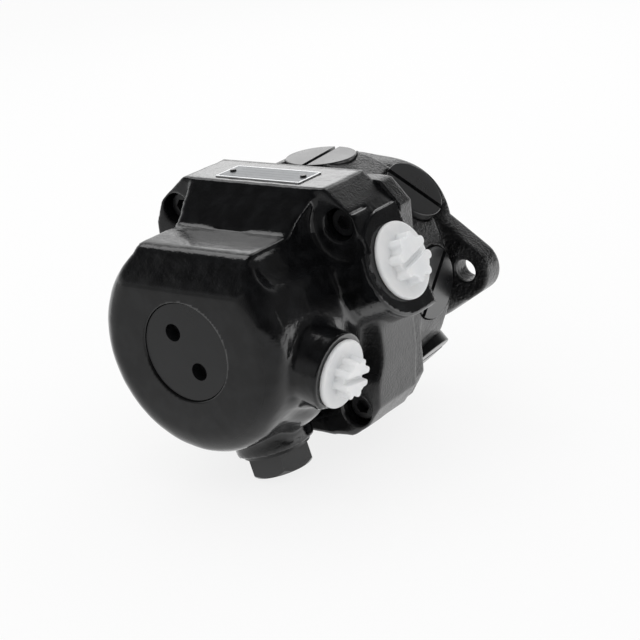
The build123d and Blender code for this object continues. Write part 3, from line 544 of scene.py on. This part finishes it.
def studio():
    """A white floor that keeps a soft shadow; the eye sees it almost fully white, and gloss sees
    it glow with painted light: painted shade fades it to grey towards the rear of the pump and a
    painted pool of light brightens it on the right."""
    bpy.ops.mesh.primitive_plane_add(size=6.0, location=(0.0, 0.0, cad_box[0][2]))
    floor = bpy.context.object
    floor.name = "studio_floor"
    pale = Paint("floor_white", (0.94, 0.94, 0.94), 0.8)
    path = pale.nodes.new("ShaderNodeLightPath").outputs
    gloss = path["Is Glossy Ray"]
    glow = pale.nodes.new("ShaderNodeEmission")
    both = pale.nodes.new("ShaderNodeMixShader")
    share = pale.math("MULTIPLY", pale.math("MAXIMUM", path["Is Camera Ray"], gloss), 0.82)
    # Painted light on the floor as gloss sees it: painted shade towards the rear of the pump and a
    # painted pool of light on the right.
    painted_floor_glow = pale.math("MULTIPLY_ADD", pale.ramp(pale.axis(1), -0.24, -0.09), 0.75, 0.35)
    right = pale.math("MULTIPLY", pale.ramp(pale.axis(0), 0.04, 0.20),
                      pale.ramp(pale.axis(1), -0.16, -0.04))
    painted_floor_glow = pale.math("ADD", painted_floor_glow, right)
    strength = pale.math("MULTIPLY_ADD", gloss, pale.math("SUBTRACT", painted_floor_glow, 1.0), 1.0)
    pale.links.new(strength, glow.inputs["Strength"])
    pale.links.new(share, both.inputs["Fac"])
    pale.links.new(pale.shader.outputs[0], both.inputs[1])
    pale.links.new(glow.outputs[0], both.inputs[2])
    pale.links.new(both.outputs[0], pale.nodes["Material Output"].inputs["Surface"])
    floor.data.materials.append(pale.material)


def room():
    """White to the eye. Gloss sees a white backdrop low on the left and a dim room elsewhere."""
    world = bpy.data.worlds.new("studio_world")
    bpy.context.scene.world = world
    world.use_nodes = True
    g = Graph(world.node_tree)
    way = g.nodes.new("ShaderNodeSeparateXYZ")
    g.links.new(g.nodes.new("ShaderNodeTexCoord").outputs["Generated"], way.inputs[0])
    path = g.nodes.new("ShaderNodeLightPath").outputs
    low = g.ramp(way.outputs["Z"], 0.40, 0.72, 1.0, 0.06)
    left = g.ramp(way.outputs["X"], -0.15, 0.45, 1.0, 0.10)
    ahead = g.ramp(way.outputs["Y"], -0.7, 0.1, 0.25, 1.0)
    backdrop = g.math("MULTIPLY", g.math("MULTIPLY", low, left), ahead)
    soft = g.ramp(way.outputs["Z"], -0.2, 0.9, 0.78, 0.92)
    strength = g.math("ADD", g.math("MULTIPLY", backdrop, path["Is Glossy Ray"]),
                      g.math("MULTIPLY", soft, g.math("SUBTRACT", 1.0, path["Is Glossy Ray"])))
    seen = g.math("MAXIMUM", path["Is Camera Ray"], path["Is Transmission Ray"])
    back = g.nodes["Background"]
    back.inputs["Color"].default_value = (1, 1, 1, 1)
    g.links.new(g.math("MAXIMUM", strength, seen), back.inputs["Strength"])


def lamp(name, place, aim, width, height, power):
    """A soft rectangular lamp that looks from its place to the aim."""
    data = bpy.data.lights.new(name, "AREA")
    data.shape = "RECTANGLE"
    data.size, data.size_y, data.energy = width, height, power
    light = bpy.data.objects.new(name, data)
    bpy.context.scene.collection.objects.link(light)
    light.location = place
    light.rotation_euler = (Vector(aim) - Vector(place)).to_track_quat("-Z", "Y").to_euler()


def look():
    """The camera, at a three-quarter view of the rear end from above and its right."""
    camera = bpy.data.objects.new("camera", bpy.data.cameras.new("camera"))
    bpy.context.scene.collection.objects.link(camera)
    camera.data.lens, camera.data.sensor_width = 89.67, 36.0
    camera.data.clip_start, camera.data.clip_end = 0.01, 20.0
    camera.matrix_world = Matrix((
        (0.8162, -0.1181, 0.5656, 0.4272),
        (0.5687, 0.3375, -0.7501, -0.6105),
        (-0.1023, 0.9339, 0.3426, 0.2387),
        (0.0, 0.0, 0.0, 1.0)))
    bpy.context.scene.camera = camera
    bpy.context.scene.view_settings.view_transform = "Standard"


studio()
room()
lamp("back_window", (-0.60, 0.95, 0.41), (0, -0.05, 0.04), 0.55, 0.24, 0.50)
lamp("top_window", (-0.62, 0.18, 0.90), (0, -0.1, 0.04), 0.45, 0.45, 1.1)
lamp("high_slot", (-0.09, 0.70, 0.75), (0.04, -0.12, 0.03), 0.20, 0.30, 0.40)
lamp("right_strip", (0.89, 0.34, 0.20), (0.04, -0.12, 0.02), 0.05, 0.26, 0.05)
look()
